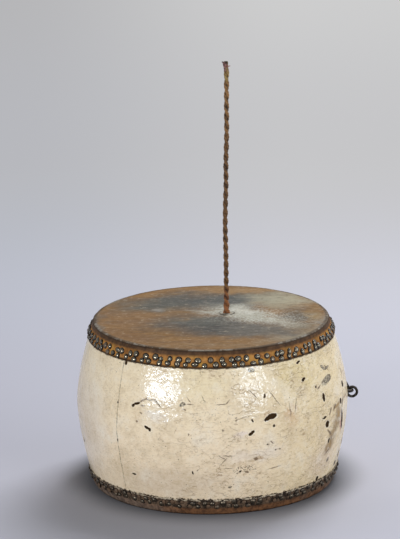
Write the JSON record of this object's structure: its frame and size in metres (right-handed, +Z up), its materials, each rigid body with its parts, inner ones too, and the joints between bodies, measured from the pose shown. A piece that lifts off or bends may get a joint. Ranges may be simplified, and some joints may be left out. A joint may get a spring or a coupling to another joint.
{
  "type": "friction drum",
  "caption": "Stave-built barrel drum with two nailed hide heads, sounded by rubbing a twisted cord that rises from the top head; iron ring on its side.",
  "frame": {"origin": "centre of the bottom hide's resting face", "axes": "+Z up, -Y towards the front as pictured, +X towards the iron ring"},
  "size_m": [0.4689, 0.4496, 0.7059],
  "materials": {
    "lacquered_wood": "ivory lacquer, crazed and chipped, over wooden staves",
    "top_hide": "bare brown hide, greyed and dusted with rosin",
    "bottom_hide": "dark red-brown hide",
    "forged_iron": "black forged iron with rust",
    "leather": "plain tan leather",
    "cord": "twisted brown cord, stiff with rosin",
    "thread": "violet binding thread"
  },
  "bodies": {
    "drum": {"stave_01": "lacquered_wood", "stave_02": "lacquered_wood", "stave_03": "lacquered_wood", "stave_04": "lacquered_wood", "stave_05": "lacquered_wood", "stave_06": "lacquered_wood", "stave_07": "lacquered_wood", "stave_08": "lacquered_wood", "stave_09": "lacquered_wood", "stave_10": "lacquered_wood", "stave_11": "lacquered_wood", "stave_12": "lacquered_wood", "stave_13": "lacquered_wood", "stave_14": "lacquered_wood", "stave_15": "lacquered_wood", "stave_16": "lacquered_wood", "top_head": "top_hide", "bottom_head": "bottom_hide", "ring_eye": "forged_iron", "anchor_washer": "leather"},
    "ring": {"hanging_ring": "forged_iron"},
    "cord_foot": {"cord_knot": "cord"},
    "cord": {"pull_cord": "cord", "cord_whipping": "thread"}
  },
  "joints": [
    {"name": "ring_swing", "type": "hinge", "parent": "drum", "child": "ring", "pos_m": [0.23415, 0.02255, 0.139], "axis": [0.0958, -0.9954, 0], "range_deg": [0, 170]},
    {"name": "cord_turn", "type": "hinge", "parent": "drum", "child": "cord_foot", "pos_m": [0.0265, 0.0212, 0.278], "axis": [0, 0, 1], "range_deg": [-180, 180]},
    {"name": "cord_lean", "type": "hinge", "parent": "cord_foot", "child": "cord", "pos_m": [0.0265, 0.0212, 0.2828], "axis": [0, 1, 0], "range_deg": [-80, 80]}
  ]
}
